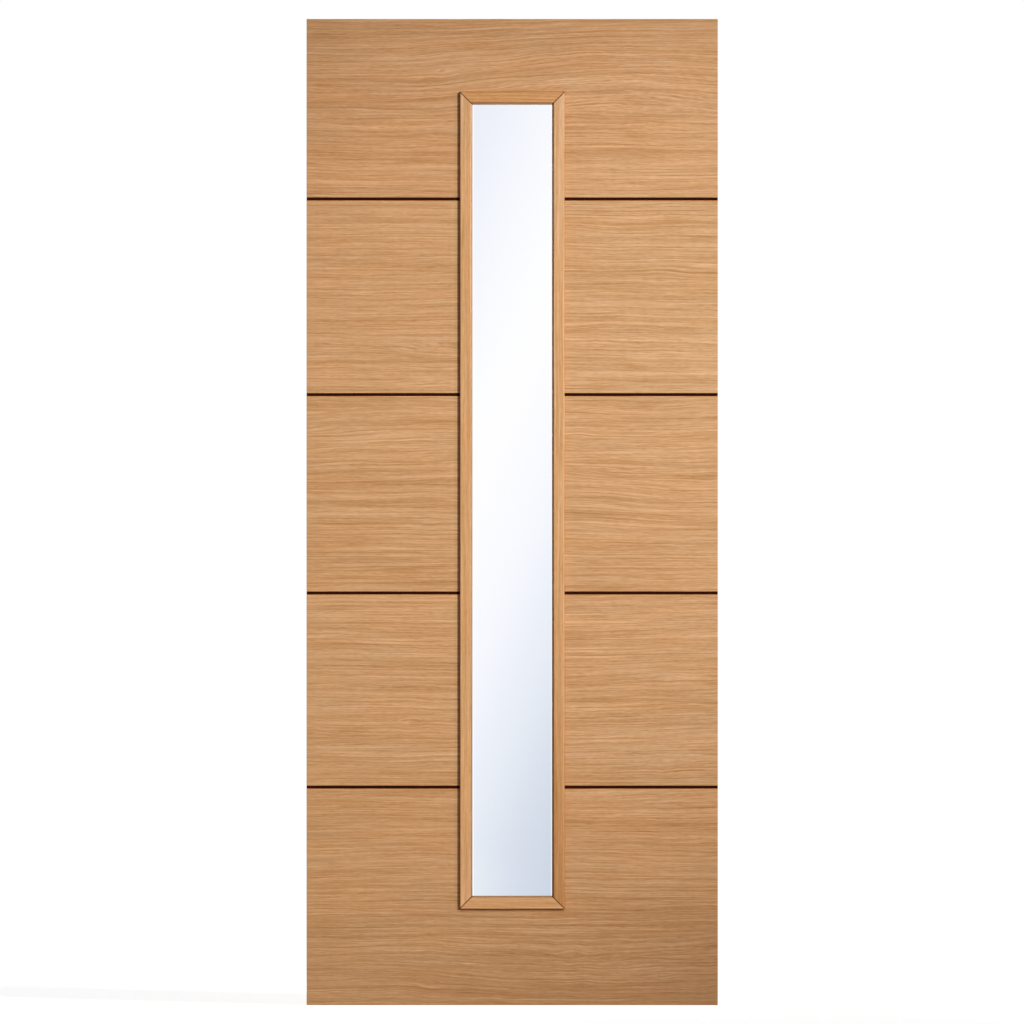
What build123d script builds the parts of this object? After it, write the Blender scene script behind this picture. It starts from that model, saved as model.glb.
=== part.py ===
"""A glazed interior door leaf: a flush solid-core leaf faced in oak veneer, with one tall narrow pane.

Each face has five veneer bands laid with the grain across the leaf. Four routed grooves part the bands,
and a dark inlay strip lies in the bottom of each groove. The pane stands on two setting blocks and is held between
two sets of mitred oak beads, whose lips lap over the faces of the leaf.

Sizes are in millimetres. X runs across the leaf from its hinge edge, Y through its thickness and Z up.
The origin is at the foot of the hinge edge, in the middle of the thickness. The front face looks along -Y.
Left and right are as seen from the front, on both faces.
"""

import os

from build123d import *

# The leaf
LEAF_HEIGHT = 1981.0
LEAF_WIDTH = 826.0
LEAF_THICKNESS = 35.0

# The layers, from the face inwards, and the solid oak strips on the two long edges
VENEER_THICKNESS = 0.6
SKIN_THICKNESS = 3.4
LIPPING_THICKNESS = 10.0
EDGE_ARRIS = 0.4

# The core frame
STILE_WIDTH = 42.0
TRIMMER_WIDTH = 38.0

# The veneer bands, measured between the centre lines of the grooves; the middle band takes what is left
TOP_BAND = 361.5
UPPER_BAND = 393.0
LOWER_BAND = 390.0
BOTTOM_BAND = 438.0

# The grooves and the strips that lie in them
GROOVE_WIDTH = 6.0
GROOVE_DEPTH = 3.0
INLAY_THICKNESS = 1.6

# The pane, as it shows between the beads, and the leaf's margins outside the beads
SIGHT_WIDTH = 160.0
TOP_MARGIN = 146.5
BOTTOM_MARGIN = 194.0
GLASS_THICKNESS = 6.0
GLASS_EDGE_CLEARANCE = 3.0
TAPE_THICKNESS = 1.5
TAPE_SETBACK = 1.0
SETTING_BLOCK_LENGTH = 30.0

# The beads
BEAD_WIDTH = 25.0
BEAD_STAND = 6.0
BEAD_LIP = 10.0
BEAD_CLEARANCE = 0.5
BEAD_ARRIS_RADIUS = 2.0
BEVEL_WIDTH = 4.0
BEVEL_DEPTH = 5.0
MITRE_GAP = 0.4

# Places that follow from the sizes above
FACE_Y = LEAF_THICKNESS / 2
SKIN_Y = FACE_Y - VENEER_THICKNESS
CORE_Y = SKIN_Y - SKIN_THICKNESS
GLASS_Y = GLASS_THICKNESS / 2
TAPE_Y = GLASS_Y + TAPE_THICKNESS
CENTRE_X = LEAF_WIDTH / 2

SIGHT_BOTTOM = BOTTOM_MARGIN + BEAD_WIDTH
SIGHT_TOP = LEAF_HEIGHT - TOP_MARGIN - BEAD_WIDTH
SIGHT_HEIGHT = SIGHT_TOP - SIGHT_BOTTOM
SIGHT_CENTRE_Z = (SIGHT_TOP + SIGHT_BOTTOM) / 2

REBATE = BEAD_WIDTH - BEAD_LIP + BEAD_CLEARANCE
APERTURE_LEFT = CENTRE_X - SIGHT_WIDTH / 2 - REBATE
APERTURE_RIGHT = CENTRE_X + SIGHT_WIDTH / 2 + REBATE
APERTURE_BOTTOM = SIGHT_BOTTOM - REBATE
APERTURE_TOP = SIGHT_TOP + REBATE

GROOVE_HEIGHTS = (
    BOTTOM_BAND,
    BOTTOM_BAND + LOWER_BAND,
    LEAF_HEIGHT - TOP_BAND - UPPER_BAND,
    LEAF_HEIGHT - TOP_BAND,
)
BAND_NAMES = ("bottom", "lower", "middle", "upper", "top")


def slab(x_span, y_span, z_span):
    """A rectangular block between two planes on each axis."""
    spans = (x_span, y_span, z_span)
    low = [min(span) for span in spans]
    size = [max(span) - min(span) for span in spans]
    return Pos(*low) * Box(*size, align=(Align.MIN, Align.MIN, Align.MIN))


def aperture():
    """The hole for the pane and its beads, right through the leaf."""
    return slab(
        (APERTURE_LEFT, APERTURE_RIGHT),
        (-LEAF_THICKNESS, LEAF_THICKNESS),
        (APERTURE_BOTTOM, APERTURE_TOP),
    )


def groove(height, depth=GROOVE_DEPTH):
    """The material a groove takes out of the front face, across the whole leaf, down to a depth from the face."""
    return slab(
        (-LEAF_THICKNESS, LEAF_WIDTH + LEAF_THICKNESS),
        (-LEAF_THICKNESS, depth - FACE_Y),
        (height - GROOVE_WIDTH / 2, height + GROOVE_WIDTH / 2),
    )


def to_back(shape):
    """The same piece on the back face."""
    return mirror(shape, about=Plane.XZ)


def stile(outer_x, inner_x):
    """An upright of the core frame, the full height of the leaf."""
    return slab((outer_x, inner_x), (-CORE_Y, CORE_Y), (0, LEAF_HEIGHT))


def rail(z_span):
    """A cross-piece of the core frame, between the stiles."""
    left = LIPPING_THICKNESS + STILE_WIDTH
    return slab((left, LEAF_WIDTH - left), (-CORE_Y, CORE_Y), z_span)


def infill(x_span):
    """An upright piece of the core that stands between the two rails."""
    return slab(x_span, (-CORE_Y, CORE_Y), (APERTURE_BOTTOM, APERTURE_TOP))


def core_frame():
    """The stiles, the rails, the trimmers beside the pane and the core boards between."""
    left_stile_x = LIPPING_THICKNESS + STILE_WIDTH
    right_stile_x = LEAF_WIDTH - left_stile_x
    left_trimmer_x = APERTURE_LEFT - TRIMMER_WIDTH
    right_trimmer_x = APERTURE_RIGHT + TRIMMER_WIDTH
    return {
        "left_stile": stile(LIPPING_THICKNESS, left_stile_x),
        "right_stile": stile(LEAF_WIDTH - LIPPING_THICKNESS, right_stile_x),
        "top_rail": rail((APERTURE_TOP, LEAF_HEIGHT)),
        "bottom_rail": rail((0, APERTURE_BOTTOM)),
        "left_trimmer": infill((left_trimmer_x, APERTURE_LEFT)),
        "right_trimmer": infill((APERTURE_RIGHT, right_trimmer_x)),
        "left_core_board": infill((left_stile_x, left_trimmer_x)),
        "right_core_board": infill((right_trimmer_x, right_stile_x)),
    }


def skin():
    """The front fibreboard sheet, cut for the pane and routed for the grooves."""
    sheet = slab(
        (LIPPING_THICKNESS, LEAF_WIDTH - LIPPING_THICKNESS),
        (-SKIN_Y, -CORE_Y),
        (0, LEAF_HEIGHT),
    )
    return sheet - aperture() - [groove(height) for height in GROOVE_HEIGHTS]


def lipping(x_span):
    """A solid oak strip on a long edge of the leaf, notched by the grooves of both faces."""
    strip = slab(x_span, (-SKIN_Y, SKIN_Y), (0, LEAF_HEIGHT))
    front_notches = [groove(height) for height in GROOVE_HEIGHTS]
    return strip - front_notches - [to_back(notch) for notch in front_notches]


def arrised(leaf):
    """A front veneer leaf with its sharp corners along the two long edges of the door taken off."""
    corners = leaf.edges().filter_by(Axis.Z).filter_by(
        lambda edge: abs(edge.center().Y + FACE_Y) < 1e-6
        and min(abs(edge.center().X), abs(edge.center().X - LEAF_WIDTH)) < 1e-6
    )
    return chamfer(corners, EDGE_ARRIS)


def veneer_bands():
    """The five front veneer leaves, from the bottom up; the pane parts each of the middle three in two."""
    edges = [0]
    for height in GROOVE_HEIGHTS:
        edges += [height - GROOVE_WIDTH / 2, height + GROOVE_WIDTH / 2]
    edges.append(LEAF_HEIGHT)
    z_spans = zip(edges[0::2], edges[1::2])
    return [
        arrised(slab((0, LEAF_WIDTH), (-FACE_Y, -SKIN_Y), z_span)) - aperture()
        for z_span in z_spans
    ]


def inlay(height):
    """The dark strip in the bottom of a front groove, on both sides of the pane."""
    bottom_y = GROOVE_DEPTH - FACE_Y
    strip = slab(
        (0, LEAF_WIDTH),
        (bottom_y - INLAY_THICKNESS, bottom_y),
        (height - GROOVE_WIDTH / 2, height + GROOVE_WIDTH / 2),
    )
    return strip - aperture()


def glass_pane():
    """The pane, clear of the aperture's edges all round."""
    width = APERTURE_RIGHT - APERTURE_LEFT - 2 * GLASS_EDGE_CLEARANCE
    height = APERTURE_TOP - APERTURE_BOTTOM - 2 * GLASS_EDGE_CLEARANCE
    return Pos(CENTRE_X, 0, SIGHT_CENTRE_Z) * Box(width, GLASS_THICKNESS, height)


def setting_block(x):
    """A block under the pane, with its middle at X, as wide as the channel between the beads."""
    return slab(
        (x - SETTING_BLOCK_LENGTH / 2, x + SETTING_BLOCK_LENGTH / 2),
        (-TAPE_Y, TAPE_Y),
        (APERTURE_BOTTOM, APERTURE_BOTTOM + GLASS_EDGE_CLEARANCE),
    )


def glazing_tape():
    """The front tape between the pane and its beads, set back a little from the sight line."""
    outer_margin = REBATE - GLASS_EDGE_CLEARANCE
    outline = Rectangle(
        SIGHT_WIDTH + 2 * outer_margin, SIGHT_HEIGHT + 2 * outer_margin
    ) - Rectangle(SIGHT_WIDTH + 2 * TAPE_SETBACK, SIGHT_HEIGHT + 2 * TAPE_SETBACK)
    face = Plane(origin=(CENTRE_X, -GLASS_Y, SIGHT_CENTRE_Z), x_dir=(1, 0, 0), z_dir=(0, -1, 0))
    return extrude(face * outline, TAPE_THICKNESS)


def bead_section():
    """A front bead's section, in the YZ plane: its outer edge at Z = 0 and its sight edge at Z = BEAD_WIDTH."""
    crest_y = -FACE_Y - BEAD_STAND
    outline = Polyline(
        (-FACE_Y, 0),
        (crest_y, 0),
        (crest_y, BEAD_WIDTH - BEVEL_WIDTH),
        (crest_y + BEVEL_DEPTH, BEAD_WIDTH),
        (-TAPE_Y, BEAD_WIDTH),
        (-TAPE_Y, BEAD_LIP),
        (-FACE_Y, BEAD_LIP),
        close=True,
    )
    section = make_face(Plane.YZ * outline)
    outer_arris = section.vertices().filter_by(
        lambda corner: abs(corner.Y - crest_y) < 1e-6 and abs(corner.Z) < 1e-6
    )
    return fillet(outer_arris, BEAD_ARRIS_RADIUS)


def bead(length):
    """A front bead along +X from an outer corner at X = 0, mitred at both ends, its sight edge up."""
    bar = extrude(bead_section(), length, dir=(1, 0, 0))
    clearance = MITRE_GAP / 2
    start = Plane(origin=(0, 0, 0), z_dir=(1, 0, -1)).offset(clearance)
    end = Plane(origin=(length, 0, 0), z_dir=(-1, 0, -1)).offset(clearance)
    return split(split(bar, bisect_by=start, keep=Keep.TOP), bisect_by=end, keep=Keep.TOP)


def front_beads():
    """The four front beads, which run round the pane in turn from its bottom left corner."""
    left = CENTRE_X - SIGHT_WIDTH / 2 - BEAD_WIDTH
    right = CENTRE_X + SIGHT_WIDTH / 2 + BEAD_WIDTH
    bottom = SIGHT_BOTTOM - BEAD_WIDTH
    top = SIGHT_TOP + BEAD_WIDTH
    across, upright = right - left, top - bottom
    return {
        "bottom": Pos(left, 0, bottom) * bead(across),
        "right": Pos(right, 0, bottom) * Rot(0, -90, 0) * bead(upright),
        "top": Pos(right, 0, top) * Rot(0, 180, 0) * bead(across),
        "left": Pos(left, 0, top) * Rot(0, 90, 0) * bead(upright),
    }


def door_pieces():
    """Every piece of the leaf by name."""
    pieces = core_frame()
    pieces["left_lipping"] = lipping((0, LIPPING_THICKNESS))
    pieces["right_lipping"] = lipping((LEAF_WIDTH - LIPPING_THICKNESS, LEAF_WIDTH))
    pieces["glass_pane"] = glass_pane()
    pieces["left_setting_block"] = setting_block(CENTRE_X - SIGHT_WIDTH / 4)
    pieces["right_setting_block"] = setting_block(CENTRE_X + SIGHT_WIDTH / 4)
    faced = {"skin": skin(), "glazing_tape": glazing_tape()}
    for band, leaf in zip(BAND_NAMES, veneer_bands()):
        faced[f"veneer_{band}"] = leaf
    for number, height in enumerate(GROOVE_HEIGHTS, start=1):
        faced[f"inlay_{number}"] = inlay(height)
    for side, piece in front_beads().items():
        faced[f"bead_{side}"] = piece
    for name, piece in faced.items():
        pieces[f"front_{name}"] = piece
        pieces[f"back_{name}"] = to_back(piece)
    return pieces


os.makedirs("parts", exist_ok=True)
for name, piece in door_pieces().items():
    export_step(piece, f"parts/{name}.step")
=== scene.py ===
"""Looks of a glazed oak door leaf: the finishes of its solids, the floor, the lights and the camera.

Lengths are in metres, in the solids' own frame: X runs across the leaf, Y through its thickness and Z up.
The front face looks along -Y.
"""

import math

import bpy
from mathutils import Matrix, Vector


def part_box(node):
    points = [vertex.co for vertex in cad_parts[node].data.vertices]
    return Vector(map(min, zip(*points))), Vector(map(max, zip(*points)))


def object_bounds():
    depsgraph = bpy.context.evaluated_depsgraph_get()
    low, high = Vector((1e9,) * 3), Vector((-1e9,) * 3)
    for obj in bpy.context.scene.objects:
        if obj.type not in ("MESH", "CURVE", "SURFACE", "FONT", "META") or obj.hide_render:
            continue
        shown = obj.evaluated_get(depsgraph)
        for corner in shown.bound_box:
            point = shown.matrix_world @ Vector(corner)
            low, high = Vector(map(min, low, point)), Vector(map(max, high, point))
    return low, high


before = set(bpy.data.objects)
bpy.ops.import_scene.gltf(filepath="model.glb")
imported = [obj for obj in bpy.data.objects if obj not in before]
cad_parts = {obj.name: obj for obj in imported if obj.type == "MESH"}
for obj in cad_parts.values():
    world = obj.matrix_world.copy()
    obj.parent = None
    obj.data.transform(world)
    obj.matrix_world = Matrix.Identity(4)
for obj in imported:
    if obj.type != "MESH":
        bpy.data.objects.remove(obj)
cad_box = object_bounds()
cad_centre = (cad_box[0] + cad_box[1]) / 2


def srgb(red, green, blue):
    """A colour given as 0 to 255, as the linear RGBA that shaders take."""
    linear = []
    for channel in (red, green, blue):
        share = channel / 255
        linear.append(share / 12.92 if share <= 0.04045 else ((share + 0.055) / 1.055) ** 2.4)
    return (*linear, 1.0)


# The camera, from where the leaf lies in the photograph
PHOTO_PIXELS = 1024
LEAF_TOP_PIXEL = 19.0
LEAF_FOOT_PIXEL = 1005.15
LEAF_MIDDLE_PIXEL = 512.2
LENS_MM = 600.0
SENSOR_MM = 36.0

# The key light: a soft-edged lamp to the right of the leaf and above it
KEY_PLACE = Vector((4.743, -4.2, 3.729))
KEY_AIM = Vector((0.241, 0.0, 0.986))
KEY_CONE = 0.434
KEY_RADIUS = 0.15
KEY_WATTS = 1600.0

# The even lights: one from the key light's side, one on the back face, and the world
FRONT_SUN = 1.03
BACK_SUN = 2.5
BACK_SUN_FROM = Vector((-1.2, 2.6, 0.25))
SUN_ANGLE = 0.06
AMBIENT = 0.18

# The floor: its colour, its glow to the camera, its size, its drop below the leaf and its roughness
FLOOR_COLOUR = (0.50, 0.50, 0.50, 1.0)
FLOOR_GLOW = 0.825
FLOOR_SIZE = 40.0
FLOOR_DROP = 0.0005
FLOOR_ROUGHNESS = 0.9

# Oak, from the dark to the light streaks
OAK_DARK = srgb(176, 124, 74)
OAK_MIDDLE = srgb(205, 155, 108)
OAK_LIGHT = srgb(234, 185, 139)
OAK_STOPS = ((0.2, OAK_DARK), (0.5, OAK_MIDDLE), (0.8, OAK_LIGHT))

# How the oak's hue drifts: the size of its patches, and its stops
HUE_PATCH = (0.15, 0.03, 0.03)
HUE_STOPS = (
    (0.3, (1.01, 0.99, 0.96, 1.0)),
    (0.7, (0.99, 1.01, 1.03, 1.0)),
)

# The lacquer: its roughness on the dark streaks, how much smoother it is on the light ones, and its gloss
LACQUER_ROUGHNESS = 0.55
LACQUER_SMOOTHING = -0.2
LACQUER_GLOSS = 0.1

# How deep the oak's streaks are
OAK_RELIEF = 0.00005

# Open pores: their size, how rare they are, their soft edge and how dark they are
PORE_SIZE = (0.014, 0.0006, 0.0006)
PORE_LEVEL = 0.12
PORE_EDGE = 0.02
PORE_DARKNESS = -0.8

# Streak layers of the oak: width, length and strength
OAK_LAYERS = (
    (0.0013, 0.016, 0.23),
    (0.0014, 0.070, 0.29),
    (0.0016, 0.350, 0.35),
    (0.0026, 0.045, 0.13),
    (0.0028, 0.180, 0.19),
    (0.0031, 0.700, 0.22),
    (0.0060, 0.120, 0.06),
    (0.0064, 0.600, 0.11),
    (0.0150, 0.250, 0.06),
    (0.0160, 0.700, 0.07),
    (0.0350, 0.900, 0.09),
    (0.0800, 1.200, 0.05),
)

# Growth lines: how far apart they lie, how long they run, half their width and their strength
OAK_LINES = (
    (0.0080, 0.450, 0.07, -1.1),
    (0.0060, 0.350, 0.06, 0.7),
)

# How the fibres wander: lumps' size along, in depth and across the grain, and how far they push
WANDERINGS = (
    ((0.550, 0.20, 0.160), 0.0160),
    ((0.160, 0.05, 0.030), 0.0055),
    ((0.070, 0.03, 0.012), 0.0018),
    ((0.022, 0.02, 0.005), 0.0009),
)

# The veneer's heart lines, near which its fibres are restless: how near, how much, and the lines' heights
HEART_REACH = (0.03, 0.13)
HEART_UNREST = (1.8, 1.0)
VENEER_HEARTS = {"top": 1.870, "upper": 1.320, "middle": 1.140, "lower": 0.570, "bottom": 0.060}

# Where the veneer's fibres climb or fall: from X, to X, Z, half height and the climb
VENEER_CLIMBS = {
    "top": (0.060, 0.660, 1.895, 0.080, 0.026),
    "upper": (0.520, 0.620, 1.550, 0.050, -0.006),
    "middle": (0.520, 0.800, 1.000, 0.070, -0.016),
    "lower": (0.420, 0.800, 0.640, 0.050, 0.005),
    "bottom": (0.200, 0.640, 0.055, 0.045, -0.013),
}

# Eyes that the veneer's fibres part round: X, Z, half length, half height and how far they part
VENEER_EYES = {
    "top": (
        (0.275, 1.877, 0.030, 0.004, 1.3),
        (0.230, 1.860, 0.060, 0.003, 0.9),
        (0.616, 1.676, 0.014, 0.003, 1.3),
        (0.692, 1.770, 0.014, 0.003, 1.3),
    ),
    "upper": (
        (0.305, 1.324, 0.210, 0.012, 1.1),
        (0.712, 1.457, 0.070, 0.008, 1.0),
    ),
    "middle": (
        (0.550, 1.141, 0.025, 0.004, 1.3),
        (0.245, 0.971, 0.025, 0.003, 1.2),
    ),
    "lower": (
        (0.208, 0.569, 0.035, 0.005, 1.3),
        (0.723, 0.657, 0.045, 0.005, 1.1),
        (0.715, 0.492, 0.035, 0.005, 1.2),
    ),
    "bottom": (
        (0.250, 0.045, 0.035, 0.006, 1.3),
        (0.400, 0.068, 0.060, 0.004, 0.9),
        (0.552, 0.039, 0.035, 0.006, 1.3),
        (0.532, 0.101, 0.035, 0.006, 1.2),
        (0.702, 0.059, 0.060, 0.005, 0.9),
    ),
}

# Tones of the veneer leaves at their left and their right end: partly each leaf's own tone, partly painted
# sheen that makes most right ends lighter and bluer
VENEER_TONES_AND_SHEEN = {
    "top": ((1.04, 1.01, 1.02, 1.0), (1.02, 1.04, 1.10, 1.0)),
    "upper": ((1.01, 1.01, 1.02, 1.0), (1.01, 1.07, 1.14, 1.0)),
    "middle": ((1.00, 1.00, 0.99, 1.0), (1.02, 1.05, 1.10, 1.0)),
    "lower": ((1.02, 1.03, 1.04, 1.0), (1.01, 1.03, 1.07, 1.0)),
    "bottom": ((0.99, 0.99, 0.98, 1.0), (1.01, 0.99, 0.99, 1.0)),
}

# Painted shade on the veneer, darker towards the leaf's foot: its tints by height, from the foot to the top
PAINTED_FOOT_SHADE = (
    (0.00, (0.87, 0.87, 0.87, 1.0)),
    (0.07, (0.91, 0.90, 0.89, 1.0)),
    (0.12, (0.97, 0.97, 0.96, 1.0)),
    (0.20, (1.00, 1.00, 1.00, 1.0)),
)

# The pane: how much it bends light, how steeply the bands of its painted reflection slant, and the tints of
# that painted reflection from top left to bottom right
GLASS_IOR = 1.5
GLASS_SLANT = 2.4
PAINTED_PANE_REFLECTION = (
    (0.00, srgb(234, 237, 245)),
    (0.12, srgb(240, 243, 251)),
    (0.29, srgb(251, 252, 255)),
    (0.44, srgb(253, 253, 255)),
    (0.63, srgb(241, 244, 252)),
    (0.80, srgb(221, 228, 239)),
    (1.00, srgb(198, 208, 225)),
)

# The painted highlight along the pane's long edges: its soft edge, its setback at the left and its strength
PANE_LINE = (0.0008, 0.0028)
PANE_LINE_SETBACK = 0.0012
PANE_LINE_STRENGTH = 0.8

# The painted highlight at the pane's foot: how high it reaches, how far from the left bead, and its
# strengths there
PANE_FOOT = (0.020, 0.120)
PANE_FOOT_WIDTH = 0.12
PANE_FOOT_STRENGTHS = (0.20, 0.04)

# How strong the streaks are on the beads, on the veneer's left and right end, and where in X that changes
BEAD_CONTRAST = 0.75
VENEER_CONTRAST = (0.93, 1.02)
CONTRAST_SPAN = (0.15, 0.65)

# Tints of the beads by height, from the frame's foot to its top: partly the beads' own tones, partly painted
# light and shade, with the right bead darker at its foot and the side beads lighter and bluer at the top as
# painted sheen
BEAD_TONES_AND_PAINTED_LIGHT = {
    "left": (
        (0.00, (1.24, 1.23, 1.24, 1.0)),
        (0.35, (1.15, 1.14, 1.11, 1.0)),
        (0.80, (1.08, 1.07, 1.05, 1.0)),
        (1.00, (1.14, 1.16, 1.21, 1.0)),
    ),
    "right": (
        (0.00, (0.87, 0.74, 0.57, 1.0)),
        (0.15, (0.95, 0.88, 0.79, 1.0)),
        (0.40, (1.08, 1.08, 1.06, 1.0)),
        (0.75, (1.11, 1.12, 1.14, 1.0)),
        (1.00, (1.17, 1.27, 1.44, 1.0)),
    ),
    "top": (
        (0.00, (1.03, 0.96, 0.85, 1.0)),
        (1.00, (1.03, 0.96, 0.85, 1.0)),
    ),
    "bottom": (
        (0.00, (1.14, 1.12, 1.09, 1.0)),
        (1.00, (1.14, 1.12, 1.09, 1.0)),
    ),
}

# Painted light and shade across the beads' section, from the edge beside the pane to the outer edge: painted
# highlights on the right bead's outer edge, the top bead's lip and the bottom bead's outer edge, and painted
# shade on the other edges
PAINTED_BEAD_SECTION_LIGHT = {
    "left": (
        (0.02, (0.42, 0.38, 0.34, 1.0)),
        (0.05, (0.78, 0.78, 0.76, 1.0)),
        (0.11, (0.80, 0.80, 0.80, 1.0)),
        (0.16, (0.92, 0.97, 1.06, 1.0)),
        (0.24, (1.00, 1.00, 1.00, 1.0)),
        (0.97, (1.00, 1.00, 1.00, 1.0)),
        (1.00, (0.60, 0.53, 0.46, 1.0)),
    ),
    "right": (
        (0.10, (0.85, 0.85, 0.85, 1.0)),
        (0.14, (1.00, 1.00, 1.00, 1.0)),
        (0.90, (1.00, 1.00, 1.00, 1.0)),
        (0.92, (0.98, 1.04, 1.12, 1.0)),
        (0.99, (0.98, 1.04, 1.12, 1.0)),
        (1.00, (0.85, 0.85, 0.85, 1.0)),
    ),
    "top": (
        (0.10, (1.45, 1.55, 1.60, 1.0)),
        (0.14, (1.00, 1.00, 1.00, 1.0)),
        (0.94, (1.00, 1.00, 1.00, 1.0)),
        (0.98, (0.72, 0.68, 0.62, 1.0)),
    ),
    "bottom": (
        (0.10, (0.56, 0.56, 0.56, 1.0)),
        (0.17, (1.00, 1.00, 1.00, 1.0)),
        (0.90, (1.00, 1.00, 1.00, 1.0)),
        (0.94, (1.40, 1.45, 1.50, 1.0)),
        (1.00, (1.80, 1.90, 2.00, 1.0)),
    ),
}

# How wide the left bead's lip beside the pane is, and its painted shade and light from the frame's foot to
# its top: darker low down, lighter at the top
LEFT_LIP = (0.11, 0.20)
PAINTED_LEFT_LIP_LIGHT = (
    (0.00, (0.62, 0.60, 0.58, 1.0)),
    (0.50, (0.90, 0.90, 0.88, 1.0)),
    (1.00, (1.14, 1.14, 1.14, 1.0)),
)

# The dark line of the mitres: its width and its soft edge, and its tint
MITRE_LINE = (0.0006, 0.0022)
MITRE_TINT = (0.30, 0.20, 0.12, 1.0)

# Painted shade in the crease where the veneer meets the bead frame: its width, its soft edge and its tint
PAINTED_CONTACT_SHADE_SPAN = (0.0005, 0.0026)
PAINTED_CONTACT_SHADE_TINT = (0.76, 0.64, 0.50, 1.0)

# The soft shade on the veneer left of the bead frame and below it: where it rises and fades, and its tint
LEFT_SHADE = (0.0040, 0.0060, 0.0060, 0.0160)
LEFT_SHADE_TINT = (0.90, 0.92, 0.95, 1.0)
SHADE_END = (-0.002, 0.002)
BELOW_SHADE = (0.0010, 0.0030, 0.0030, 0.0110)
BELOW_SHADE_TINT = (0.63, 0.61, 0.57, 1.0)

# The darker, redder edge of the veneer along the grooves: its width, its soft edge and its tint
GROOVE_LINE = (0.0002, 0.0009)
GROOVE_TINT = (1.00, 0.55, 0.30, 1.0)

# Sawn oak beside lacquered oak: the slope at which it starts, its tint and how much rougher it is
CUT_SLOPE = (0.4, 0.8)
CUT_TINT = (0.78, 0.74, 0.68, 1.0)
CUT_ROUGHNESS = 0.5

# Other woods and the rubbers, from dark to light, and their surfaces
INLAY_COLOURS = (srgb(34, 10, 0), srgb(52, 22, 8))
FIBREBOARD_COLOURS = (srgb(120, 82, 46), srgb(148, 106, 66))
SOFTWOOD_COLOURS = (srgb(204, 162, 112), srgb(230, 195, 148))
TAPE_COLOURS = (srgb(38, 36, 34), srgb(58, 55, 52))
BLOCK_COLOURS = (srgb(24, 24, 26), srgb(34, 34, 37))
RAW_GLOSS = 0.05
RAW_ROUGHNESS = 0.75
RAW_RELIEF = 0.0002
RUBBER_SPECK = 0.0006
RUBBER_ROUGHNESS = 0.8
RUBBER_RELIEF = 0.0001

# How far apart in depth the trees lie that the pieces are cut from
TREE_SPACING = 0.37


class Graph:
    """The nodes of one material. Every method takes sockets and plain values alike."""

    def __init__(self, name):
        self.material = bpy.data.materials.new(name)
        self.material.use_nodes = True
        self.tree = self.material.node_tree
        self.shader = self.tree.nodes["Principled BSDF"]
        self.place = self.add("ShaderNodeTexCoord").outputs["Object"]

    def add(self, kind, settings=None, **inputs):
        """A node with its settings, and with its inputs given by name."""
        node = self.tree.nodes.new(kind)
        for key, value in (settings or {}).items():
            setattr(node, key, value)
        for key, value in inputs.items():
            self.put(node.inputs[key], value)
        return node

    def put(self, socket, value):
        """Links a socket to an input, or sets the input to a plain value."""
        if isinstance(value, bpy.types.NodeSocket):
            self.tree.links.new(value, socket)
        else:
            socket.default_value = value

    def math(self, operation, *values):
        """The result of one operation on its values."""
        node = self.add("ShaderNodeMath", {"operation": operation})
        for socket, value in zip(node.inputs, values):
            self.put(socket, value)
        return node.outputs[0]

    def scaled(self, vector, factors):
        """A vector with each axis multiplied by its own factor."""
        node = self.add("ShaderNodeVectorMath", {"operation": "MULTIPLY"})
        self.put(node.inputs[0], vector)
        self.put(node.inputs[1], factors)
        return node.outputs[0]

    def joined(self, x, y, z):
        """A vector made of three values."""
        return self.add("ShaderNodeCombineXYZ", X=x, Y=y, Z=z).outputs[0]

    def parted(self, vector):
        """The three values of a vector."""
        return self.add("ShaderNodeSeparateXYZ", Vector=vector).outputs

    def noise(self, vector, cells):
        """Noise from -0.5 to 0.5, whose lumps have the given size along each axis."""
        factors = tuple(1 / cell for cell in cells)
        node = self.add("ShaderNodeTexNoise", Vector=self.scaled(vector, factors), Scale=1.0, Detail=0.0)
        return self.math("SUBTRACT", node.outputs["Fac"], 0.5)

    def eased(self, value, spans_from, spans_to):
        """A value taken smoothly from one span to another, and held at the ends."""
        node = self.add("ShaderNodeMapRange", {"interpolation_type": "SMOOTHSTEP"}, Value=value)
        node.inputs["From Min"].default_value, node.inputs["From Max"].default_value = spans_from
        node.inputs["To Min"].default_value, node.inputs["To Max"].default_value = spans_to
        return node.outputs["Result"]

    def ramp(self, factor, stops, interpolation="LINEAR"):
        """A colour that goes through the stops, each a place from 0 to 1 and a colour."""
        node = self.add("ShaderNodeValToRGB", Fac=factor)
        node.color_ramp.interpolation = interpolation
        elements = node.color_ramp.elements
        while len(elements) < len(stops):
            elements.new(0.5)
        for element, (place, colour) in zip(elements, stops):
            element.position = place
            element.color = colour
        return node.outputs["Color"]

    def tinted(self, colour, tint, factor=1.0):
        """A colour multiplied by another, as far as the factor says."""
        node = self.add("ShaderNodeMix", {"data_type": "RGBA", "blend_type": "MULTIPLY"})
        self.put(node.inputs[0], factor)
        self.put(node.inputs[6], colour)
        self.put(node.inputs[7], tint)
        return node.outputs[2]

    def lightened(self, colour, factor):
        """A colour taken towards white, as far as the factor says."""
        node = self.add("ShaderNodeMix", {"data_type": "RGBA"})
        self.put(node.inputs[0], factor)
        self.put(node.inputs[6], colour)
        self.put(node.inputs[7], (1.0, 1.0, 1.0, 1.0))
        return node.outputs[2]

    def finish(self, colour, roughness, height=None, relief=0.0):
        """Sets what every finish has: colour, roughness and the height of its relief."""
        self.put(self.shader.inputs["Base Color"], colour)
        self.put(self.shader.inputs["Roughness"], roughness)
        if height is not None:
            bump = self.add("ShaderNodeBump", Height=height, Strength=1.0, Distance=relief)
            self.put(self.shader.inputs["Normal"], bump.outputs["Normal"])
        return self.material


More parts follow.
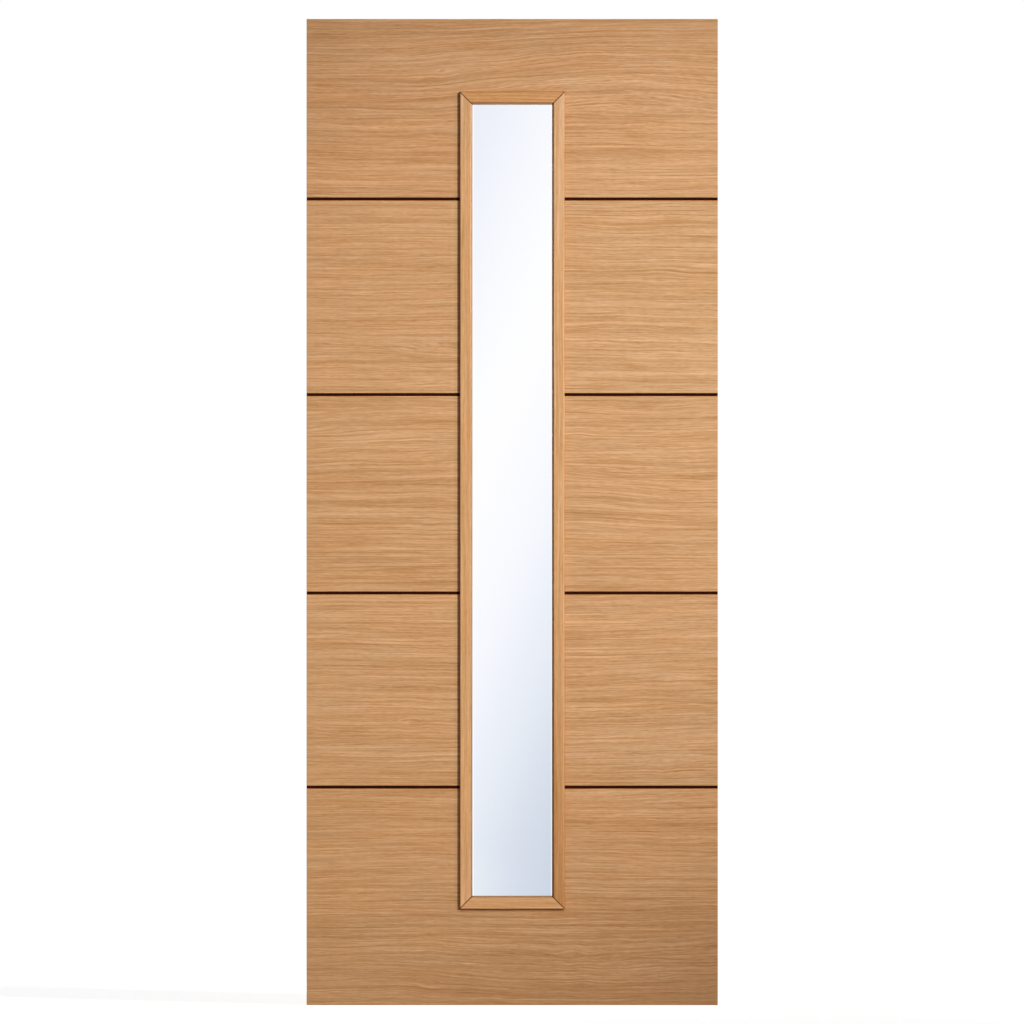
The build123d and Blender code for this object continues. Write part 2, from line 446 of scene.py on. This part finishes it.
def wood_place(graph, grain, tree):
    """Where a point lies along the grain, in depth and across the grain. Every tree has its own depth."""
    x, y, z = graph.parted(graph.place)
    along, across = (x, z) if grain == "X" else (z, x)
    return along, graph.math("ADD", y, TREE_SPACING * tree), across


def wandering(graph, along, depth, across):
    """How far the fibres wander from the straight."""
    place = graph.joined(along, depth, across)
    total = 0.0
    for lump, push in WANDERINGS:
        total = graph.math("MULTIPLY_ADD", graph.noise(place, lump), push, total)
    return total


def restless(graph, across, heart):
    """How much more the fibres wander near a heart line than away from it."""
    off = graph.math("ABSOLUTE", graph.math("SUBTRACT", across, heart))
    return graph.eased(off, HEART_REACH, HEART_UNREST)


def climbing(graph, along, across, climb):
    """How far the fibres climb or fall along a stretch, the less so away from its height."""
    start, end, height, half_height, rise = climb
    off = graph.math("ABSOLUTE", graph.math("SUBTRACT", across, height))
    near = graph.eased(off, (0.0, 2 * half_height), (1.0, 0.0))
    return graph.math("MULTIPLY", graph.eased(along, (start, end), (0.0, rise)), near)


def parting(graph, along, across, eye):
    """How far the fibres are pushed aside round an eye."""
    eye_along, eye_across, half_length, half_height, share = eye
    reach = graph.math("ABSOLUTE", graph.math("SUBTRACT", along, eye_along))
    near = graph.eased(reach, (0.0, half_length), (share, 0.0))
    off = graph.math("SUBTRACT", across, eye_across)
    squared = graph.math("MULTIPLY_ADD", off, off, half_height * half_height)
    bell = graph.math("DIVIDE", half_height * half_height, squared)
    return graph.math("MULTIPLY", graph.math("MULTIPLY", off, bell), near)


def streaks(graph, along, depth, across):
    """The sum of the streak layers, centred on 0."""
    place = graph.joined(along, depth, across)
    total = 0.0
    for width, length, strength in OAK_LAYERS:
        total = graph.math("MULTIPLY_ADD", graph.noise(place, (length, width, width)), strength, total)
    return total


def growth_lines(graph, along, depth, across):
    """Thin lines, dark or light, which follow the fibres and run into each other."""
    total = 0.0
    for spacing, length, half_width, strength in OAK_LINES:
        place = graph.joined(along, graph.math("ADD", depth, 3 * spacing), across)
        off = graph.math("ABSOLUTE", graph.noise(place, (length, spacing, spacing)))
        line = graph.math("SMOOTH_MAX", graph.math("SUBTRACT", half_width, off), 0.0, half_width / 2)
        total = graph.math("MULTIPLY_ADD", line, strength, total)
    return total


def past_frame(graph):
    """How far a point lies past the sides and past the ends of the bead frame, below 0 within it."""
    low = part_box("front_bead_left")[0]
    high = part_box("front_bead_right")[1]
    x, y, z = graph.parted(graph.place)
    past = []
    for place, start, end in ((x, low.x, high.x), (z, low.z, high.z)):
        off = graph.math("ABSOLUTE", graph.math("SUBTRACT", place, (start + end) / 2))
        past.append(graph.math("SUBTRACT", off, (end - start) / 2))
    return past


def mitre_line(graph):
    """1 along the glue lines of the bead frame's four mitres and 0 away from them."""
    past_side, past_end = past_frame(graph)
    off = graph.math("ABSOLUTE", graph.math("SUBTRACT", past_side, past_end))
    return graph.eased(off, MITRE_LINE, (1.0, 0.0))


def painted_contact_shade(graph):
    """1 on the veneer where it meets the bead frame, where the painted crease shade lies, and 0 away from
    there.
    """
    past_side, past_end = past_frame(graph)
    return graph.eased(graph.math("MAXIMUM", past_side, past_end), PAINTED_CONTACT_SHADE_SPAN, (1.0, 0.0))


def shade_beside(graph, off, past, spans):
    """0 at the frame, 1 a little off it and 0 further off, as far along as the frame reaches."""
    rise_start, rise_end, fade_start, fade_end = spans
    rise = graph.eased(off, (rise_start, rise_end), (0.0, 1.0))
    fade = graph.eased(off, (fade_start, fade_end), (1.0, 0.0))
    beside = graph.eased(past, SHADE_END, (1.0, 0.0))
    return graph.math("MULTIPLY", graph.math("MULTIPLY", rise, fade), beside)


def groove_line(graph):
    """1 on the veneer along the grooves and 0 away from them."""
    height = graph.parted(graph.place)["Z"]
    nearest = 1.0
    for number in (1, 2, 3, 4):
        low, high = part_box(f"front_inlay_{number}")
        off = graph.math("ABSOLUTE", graph.math("SUBTRACT", height, (low.z + high.z) / 2))
        nearest = graph.math("MINIMUM", graph.math("SUBTRACT", off, (high.z - low.z) / 2), nearest)
    return graph.eased(nearest, GROOVE_LINE, (1.0, 0.0))


def bead_section(graph):
    """0 at a bead's edge beside the pane and 1 at its outer edge."""
    low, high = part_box("front_bead_left")
    past_side, past_end = past_frame(graph)
    return graph.math("MULTIPLY_ADD", graph.math("MAXIMUM", past_side, past_end), 1 / (high.x - low.x), 1.0)


def cut_edge(graph):
    """1 on the top and the foot of the leaf, where the oak is sawn and not lacquered, and 0 elsewhere."""
    facing = graph.parted(graph.add("ShaderNodeNewGeometry").outputs["Normal"])["Z"]
    return graph.eased(graph.math("ABSOLUTE", facing), CUT_SLOPE, (0.0, 1.0))


def fibre_sway(graph, along, depth, across, band):
    """How far the fibres lie off the straight, with its own figure for each band of veneer."""
    sway = wandering(graph, along, depth, across)
    if band:
        sway = graph.math("MULTIPLY", sway, restless(graph, across, VENEER_HEARTS[band]))
        sway = graph.math("ADD", sway, climbing(graph, along, across, VENEER_CLIMBS[band]))
        for eye in VENEER_EYES[band]:
            sway = graph.math("ADD", sway, parting(graph, along, across, eye))
    return sway


def oak_tone(graph, along, depth, bent, contrast):
    """How light the oak is along its fibres, with its streaks, growth lines and open pores."""
    streak = graph.math("MULTIPLY_ADD", streaks(graph, along, depth, bent), contrast, 0.5)
    streak = graph.math("ADD", streak, growth_lines(graph, along, depth, bent))
    pores = graph.noise(graph.joined(along, depth, bent), PORE_SIZE)
    pore = graph.math("SMOOTH_MAX", graph.math("SUBTRACT", pores, PORE_LEVEL), 0.0, PORE_EDGE)
    return graph.math("MULTIPLY_ADD", pore, PORE_DARKNESS, streak)


def bead_tinted(graph, colour, side):
    """The oak of the beads on one side, with their own tones and painted light by height, painted light and
    shade across their section and on the left lip, and the mitres' lines.
    """
    low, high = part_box("front_bead_left")
    off_foot = graph.math("SUBTRACT", graph.parted(graph.place)["Z"], low.z)
    height = graph.math("DIVIDE", off_foot, high.z - low.z)
    section = bead_section(graph)
    # Own tones and painted light and shade by height
    colour = graph.tinted(colour, graph.ramp(height, BEAD_TONES_AND_PAINTED_LIGHT[side]))
    # Painted light and shade across the bead's section
    colour = graph.tinted(colour, graph.ramp(section, PAINTED_BEAD_SECTION_LIGHT[side]))
    # Painted shade low on the left bead's lip and painted light at its top
    if side == "left":
        lip = graph.eased(section, LEFT_LIP, (1.0, 0.0))
        colour = graph.tinted(colour, graph.ramp(height, PAINTED_LEFT_LIP_LIGHT), lip)
    return graph.tinted(colour, MITRE_TINT, mitre_line(graph))


def veneer_tinted(graph, colour, along, across, band):
    """The oak of a band of veneer, with its tones and painted sheen across it, painted shade towards the
    leaf's foot and along the frame, and darker edges along the grooves.
    """
    left_tone, right_tone_and_sheen = VENEER_TONES_AND_SHEEN[band]
    share_across = graph.math("DIVIDE", along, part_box(f"front_veneer_{band}")[1].x)
    share_up = graph.math("DIVIDE", across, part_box("left_lipping")[1].z)
    # Own tones and painted sheen from the left end to the right end
    colour = graph.tinted(colour, graph.ramp(share_across, ((0.0, left_tone), (1.0, right_tone_and_sheen))))
    # Painted shade, darker towards the leaf's foot
    colour = graph.tinted(colour, graph.ramp(share_up, PAINTED_FOOT_SHADE))
    past_side, past_end = past_frame(graph)
    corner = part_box("front_bead_left")[0]
    left = shade_beside(graph, graph.math("SUBTRACT", corner.x, along), past_end, LEFT_SHADE)
    below = shade_beside(graph, graph.math("SUBTRACT", corner.z, across), past_side, BELOW_SHADE)
    colour = graph.tinted(colour, LEFT_SHADE_TINT, left)
    colour = graph.tinted(colour, BELOW_SHADE_TINT, below)
    # Painted shade in the crease beside the bead frame
    colour = graph.tinted(colour, PAINTED_CONTACT_SHADE_TINT, painted_contact_shade(graph))
    return graph.tinted(colour, GROOVE_TINT, groove_line(graph))


def oak(name, grain, tree, band=None, side=None):
    """Lacquered oak with streaks and open pores: a band of veneer, the beads on one side, or neither."""
    graph = Graph(name)
    along, depth, across = wood_place(graph, grain, tree)
    bent = graph.math("SUBTRACT", across, fibre_sway(graph, along, depth, across, band))
    contrast = graph.eased(along, CONTRAST_SPAN, VENEER_CONTRAST) if band else BEAD_CONTRAST
    tone = oak_tone(graph, along, depth, bent, contrast)
    colour = graph.ramp(tone, OAK_STOPS)
    roughness = graph.math("MULTIPLY_ADD", tone, LACQUER_SMOOTHING, LACQUER_ROUGHNESS)
    if side:
        colour = bead_tinted(graph, colour, side)
    if band:
        colour = veneer_tinted(graph, colour, along, across, band)
    hue = graph.math("ADD", graph.noise(graph.joined(along, depth, bent), HUE_PATCH), 0.5)
    colour = graph.tinted(colour, graph.ramp(hue, HUE_STOPS))
    if not side:
        raw = cut_edge(graph)
        colour = graph.tinted(colour, CUT_TINT, raw)
        roughness = graph.math("MULTIPLY_ADD", raw, CUT_ROUGHNESS, roughness)
    graph.shader.inputs["Specular IOR Level"].default_value = LACQUER_GLOSS
    return graph.finish(colour, roughness, height=tone, relief=OAK_RELIEF)


def plain_wood(name, grain, tree, colours):
    """Unfinished timber or board, with streaks along its grain."""
    graph = Graph(name)
    along, depth, across = wood_place(graph, grain, tree)
    bent = graph.math("SUBTRACT", across, wandering(graph, along, depth, across))
    streak = graph.math("ADD", streaks(graph, along, depth, bent), 0.5)
    dark, light = colours
    colour = graph.ramp(streak, ((0.2, dark), (0.8, light)))
    graph.shader.inputs["Specular IOR Level"].default_value = RAW_GLOSS
    return graph.finish(colour, RAW_ROUGHNESS, height=streak, relief=RAW_RELIEF)


def painted_pane_highlight(graph):
    """How much lighter the pane is in its painted highlights: the lines beside the beads and its foot."""
    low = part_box("front_bead_left")[1]
    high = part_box("front_bead_right")[0]
    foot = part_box("front_bead_bottom")[1].z
    x, y, z = graph.parted(graph.place)
    past_left = graph.math("SUBTRACT", x, low.x + PANE_LINE_SETBACK)
    past_right = graph.math("SUBTRACT", high.x, x)
    nearest = graph.math("MINIMUM", past_left, past_right)
    lines = graph.eased(nearest, PANE_LINE, (PANE_LINE_STRENGTH, 0.0))
    near_foot = graph.eased(graph.math("SUBTRACT", z, foot), PANE_FOOT, (1.0, 0.0))
    strength = graph.eased(x, (low.x, low.x + PANE_FOOT_WIDTH), PANE_FOOT_STRENGTHS)
    return graph.math("MAXIMUM", lines, graph.math("MULTIPLY", near_foot, strength))


def clear_glass():
    """A clear pane with a painted reflection: a soft blue-grey fall-off down one diagonal, with painted
    highlights beside the beads and at its foot.
    """
    graph = Graph("clear_glass")
    low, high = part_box("glass_pane")
    x, y, z = graph.parted(graph.place)
    down = graph.math("SUBTRACT", high.z, z)
    diagonal = graph.math("MULTIPLY_ADD", graph.math("SUBTRACT", x, low.x), GLASS_SLANT, down)
    share = graph.math("DIVIDE", diagonal, high.z - low.z + GLASS_SLANT * (high.x - low.x))
    # Painted reflection: bands of tint down the diagonal
    tint = graph.ramp(share, PAINTED_PANE_REFLECTION, "CARDINAL")
    # Painted highlights beside the beads and at the foot
    tint = graph.lightened(tint, painted_pane_highlight(graph))
    graph.shader.inputs["Transmission Weight"].default_value = 1.0
    graph.shader.inputs["IOR"].default_value = GLASS_IOR
    return graph.finish(tint, 0.0)


def rubbery(name, colours):
    """Dark foam or rubber, slightly speckled."""
    graph = Graph(name)
    speckle = graph.math("ADD", graph.noise(graph.place, (RUBBER_SPECK, RUBBER_SPECK, RUBBER_SPECK)), 0.5)
    dark, light = colours
    colour = graph.ramp(speckle, ((0.3, dark), (0.7, light)))
    return graph.finish(colour, RUBBER_ROUGHNESS, height=speckle, relief=RUBBER_RELIEF)


def dress(node, material):
    """Gives a node's object one finish."""
    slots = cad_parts[node].data.materials
    slots.clear()
    slots.append(material)


def dress_leaf():
    """Gives every node its finish. Each wood has a tree number of its own, so that no two share a figure."""
    for tree, band in enumerate(VENEER_EYES, start=1):
        veneer = oak(f"oak_veneer_{band}", "X", tree, band=band)
        dress(f"front_veneer_{band}", veneer)
        dress(f"back_veneer_{band}", veneer)
    grains = {"left": "Z", "right": "Z", "top": "X", "bottom": "X"}
    for tree, (side, grain) in enumerate(grains.items(), start=11):
        bead_oak = oak(f"oak_bead_{side}", grain, tree, side=side)
        dress(f"front_bead_{side}", bead_oak)
        dress(f"back_bead_{side}", bead_oak)
    upright_oak = oak("oak_lipping", "Z", 21)
    dress("left_lipping", upright_oak)
    dress("right_lipping", upright_oak)
    inlay = plain_wood("dark_inlay", "X", 31, INLAY_COLOURS)
    for number in (1, 2, 3, 4):
        dress(f"front_inlay_{number}", inlay)
        dress(f"back_inlay_{number}", inlay)
    fibreboard = plain_wood("fibreboard", "X", 41, FIBREBOARD_COLOURS)
    dress("front_skin", fibreboard)
    dress("back_skin", fibreboard)
    upright = plain_wood("softwood_upright", "Z", 51, SOFTWOOD_COLOURS)
    across = plain_wood("softwood_across", "X", 52, SOFTWOOD_COLOURS)
    for side in ("left", "right"):
        for piece in ("stile", "trimmer", "core_board"):
            dress(f"{side}_{piece}", upright)
    dress("top_rail", across)
    dress("bottom_rail", across)
    dress("glass_pane", clear_glass())
    tape = rubbery("tape_foam", TAPE_COLOURS)
    dress("front_glazing_tape", tape)
    dress("back_glazing_tape", tape)
    block = rubbery("setting_block", BLOCK_COLOURS)
    dress("left_setting_block", block)
    dress("right_setting_block", block)


def make_floor():
    """A pale floor that is white to the camera and keeps the leaf's shadow."""
    bpy.ops.mesh.primitive_plane_add(size=FLOOR_SIZE, location=(cad_centre.x, 0, cad_box[0].z - FLOOR_DROP))
    floor = bpy.context.object
    floor.name = "studio_floor"
    graph = Graph("studio_floor")
    graph.shader.inputs["Base Color"].default_value = FLOOR_COLOUR
    graph.shader.inputs["Roughness"].default_value = FLOOR_ROUGHNESS
    graph.shader.inputs["Specular IOR Level"].default_value = 0.0
    graph.shader.inputs["Emission Color"].default_value = (1.0, 1.0, 1.0, 1.0)
    path = graph.add("ShaderNodeLightPath").outputs
    glow = graph.math("MULTIPLY", path["Is Camera Ray"], FLOOR_GLOW)
    graph.put(graph.shader.inputs["Emission Strength"], glow)
    white = graph.add("ShaderNodeEmission", Strength=1.0)
    mirrored = graph.math("MAXIMUM", path["Is Glossy Ray"], path["Is Transmission Ray"])
    mix = graph.add("ShaderNodeMixShader", Fac=mirrored)
    graph.put(mix.inputs[1], graph.shader.outputs["BSDF"])
    graph.put(mix.inputs[2], white.outputs["Emission"])
    graph.put(graph.tree.nodes["Material Output"].inputs["Surface"], mix.outputs["Shader"])
    floor.data.materials.append(graph.material)


def make_world():
    """A dim even light on the object, and a white background behind it."""
    world = bpy.data.worlds.new("studio")
    bpy.context.scene.world = world
    world.use_nodes = True
    nodes, links = world.node_tree.nodes, world.node_tree.links
    light_path = nodes.new("ShaderNodeLightPath")
    seen = light_path.outputs["Is Camera Ray"]
    for ray in ("Is Glossy Ray", "Is Transmission Ray"):
        either = nodes.new("ShaderNodeMath")
        either.operation = "MAXIMUM"
        links.new(seen, either.inputs[0])
        links.new(light_path.outputs[ray], either.inputs[1])
        seen = either.outputs[0]
    strength = nodes.new("ShaderNodeMapRange")
    strength.inputs["To Min"].default_value = AMBIENT
    strength.inputs["To Max"].default_value = 1.0
    links.new(seen, strength.inputs["Value"])
    background = nodes["Background"]
    background.inputs["Color"].default_value = (1.0, 1.0, 1.0, 1.0)
    links.new(strength.outputs["Result"], background.inputs["Strength"])


def add_lamp(name, kind, power, place, aim):
    """A lamp at one place that looks at another."""
    data = bpy.data.lights.new(name, kind)
    data.energy = power
    lamp = bpy.data.objects.new(name, data)
    lamp.location = place
    lamp.rotation_euler = (aim - place).to_track_quat("-Z", "Y").to_euler()
    bpy.context.scene.collection.objects.link(lamp)
    return data


def make_lamps():
    """The soft-edged key lamp, and an even light on each face."""
    key = add_lamp("key_light", "SPOT", KEY_WATTS, KEY_PLACE, KEY_AIM)
    key.spot_size = KEY_CONE
    key.spot_blend = 1.0
    key.shadow_soft_size = KEY_RADIUS
    front = add_lamp("front_sun", "SUN", FRONT_SUN, KEY_PLACE, KEY_AIM)
    front.angle = SUN_ANGLE
    back = add_lamp("back_sun", "SUN", BACK_SUN, BACK_SUN_FROM, Vector())
    back.angle = SUN_ANGLE


def make_camera():
    """A long lens square to the front face, so that the leaf lies in the frame as in the photograph."""
    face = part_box("front_veneer_top")[0].y
    low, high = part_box("left_lipping")
    metres_per_pixel = (high.z - low.z) / (LEAF_FOOT_PIXEL - LEAF_TOP_PIXEL)
    distance = metres_per_pixel * PHOTO_PIXELS * LENS_MM / SENSOR_MM
    sideways = (PHOTO_PIXELS / 2 - LEAF_MIDDLE_PIXEL) * metres_per_pixel
    upwards = (LEAF_FOOT_PIXEL - PHOTO_PIXELS / 2) * metres_per_pixel
    data = bpy.data.cameras.new("camera")
    data.lens = LENS_MM
    data.sensor_width = SENSOR_MM
    camera = bpy.data.objects.new("camera", data)
    camera.location = (cad_centre.x + sideways, face - distance, low.z + upwards)
    camera.rotation_euler = (math.pi / 2, 0, 0)
    bpy.context.scene.collection.objects.link(camera)
    bpy.context.scene.camera = camera


bpy.context.scene.view_settings.view_transform = "Standard"
make_camera()
dress_leaf()
make_floor()
make_world()
make_lamps()
